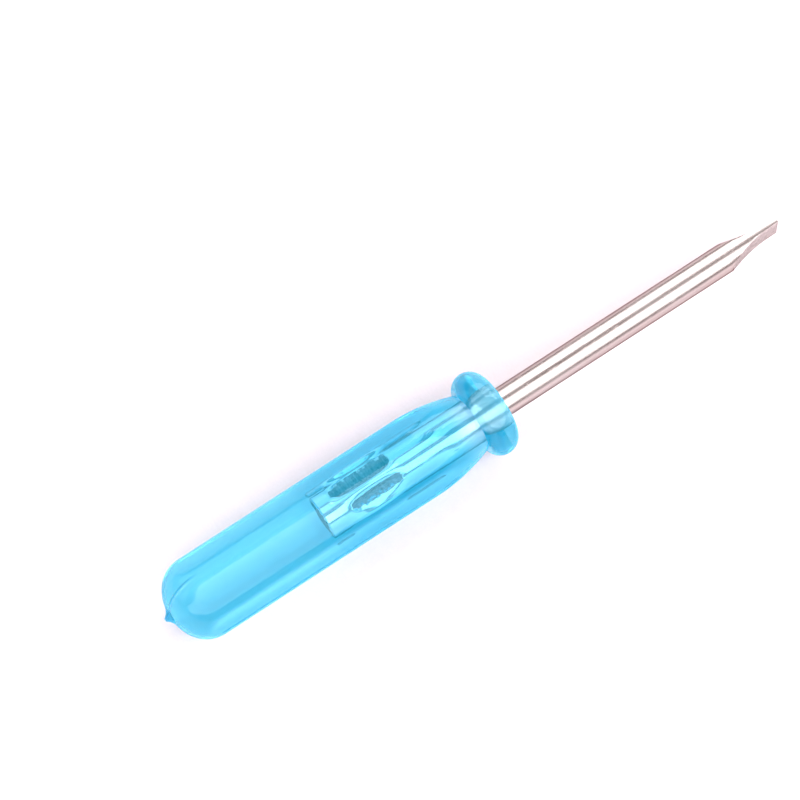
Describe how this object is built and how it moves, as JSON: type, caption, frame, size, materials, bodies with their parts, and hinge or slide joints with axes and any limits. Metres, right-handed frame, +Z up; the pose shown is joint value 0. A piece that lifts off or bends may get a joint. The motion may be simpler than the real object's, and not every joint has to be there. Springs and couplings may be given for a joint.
{
  "type": "watchmaker screwdriver",
  "caption": "Small slotted screwdriver: round steel blade with a hollow-ground tip, moulded into a clear blue handle with flats, a waist and a rounded collar.",
  "frame": {"origin": "middle of the blade's end face, on the axis of the blade and the handle", "axes": "+X along the tool and out of the tip, +Y square to the chisel's left face, +Z up as the tool lies, along the width of the chisel's edge"},
  "size_m": [0.0454, 0.0056, 0.0056],
  "materials": {
    "clear_blue_plastic": "gloss",
    "plated_steel": "polished"
  },
  "bodies": {
    "root": {"handle": "clear_blue_plastic", "blade": "plated_steel"}
  },
  "joints": []
}
